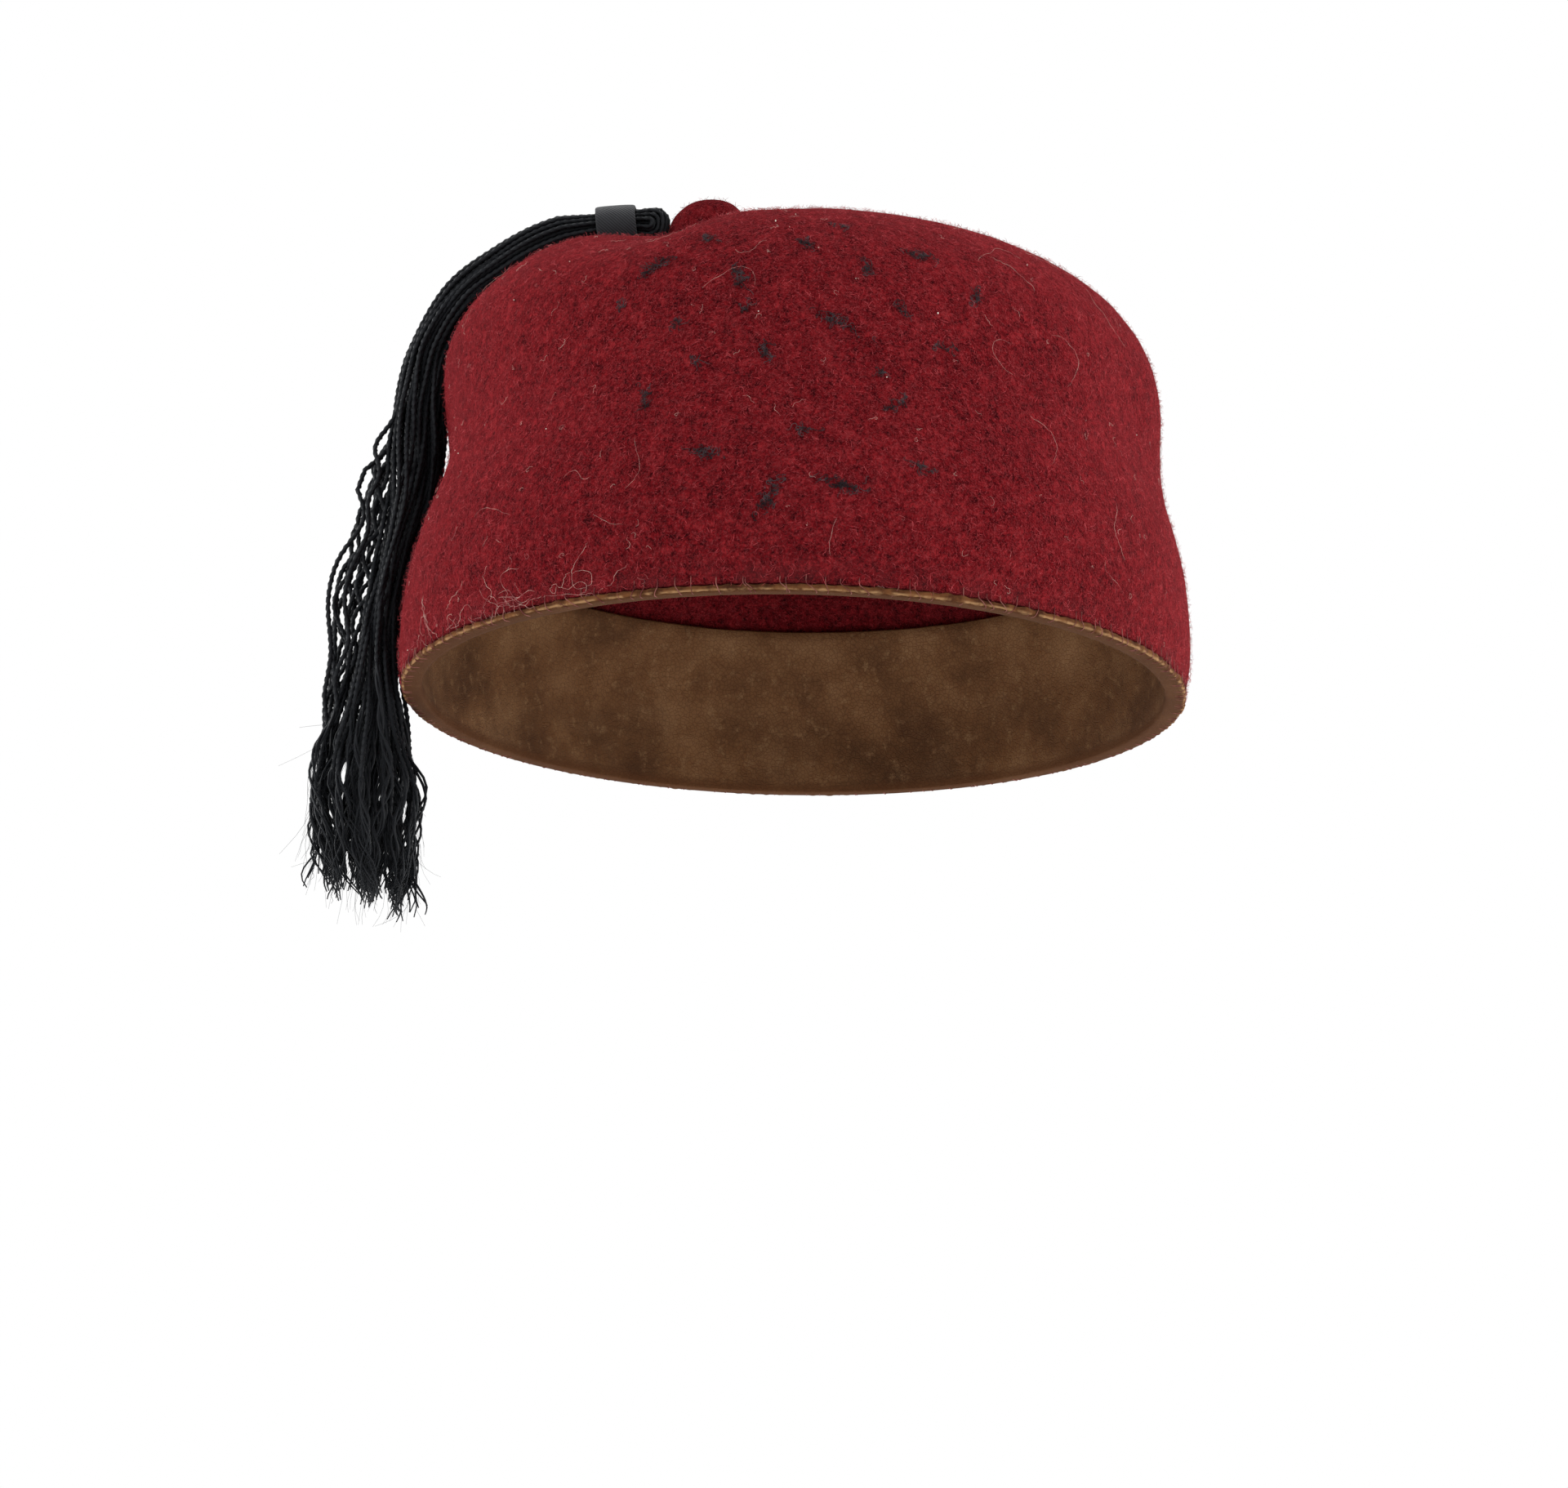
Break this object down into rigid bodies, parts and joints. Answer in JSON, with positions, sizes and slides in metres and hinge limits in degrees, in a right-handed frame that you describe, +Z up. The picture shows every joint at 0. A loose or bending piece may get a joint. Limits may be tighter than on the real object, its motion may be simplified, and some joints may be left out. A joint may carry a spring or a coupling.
{
  "type": "fez hat with tassel",
  "caption": "Soft brimless felt fez with a domed crown, a small pip on top, a leather sweatband and a long dark corded tassel hanging at one side.",
  "frame": {"origin": "centre of the head opening, level with the lower edge of the sweatband", "axes": "-Y is the front, +X the wearer's left, +Z up through the crown; the tassel hangs on the -X side"},
  "size_m": [0.1958, 0.2063, 0.1618],
  "materials": {
    "wool_felt": "thick matt maroon wool felt with a fuzzy nap",
    "sweatband_leather": "worn tan brown leather with a whip-stitched edge",
    "tassel_cord": "blue-black twisted cord with a dull silky sheen",
    "tassel_ribbon": "charcoal ribbed ribbon"
  },
  "bodies": {
    "root": {"felt_crown": "wool_felt", "sweatband": "sweatband_leather", "tassel_cords": "tassel_cord", "tassel_ribbon": "tassel_ribbon"}
  },
  "joints": []
}
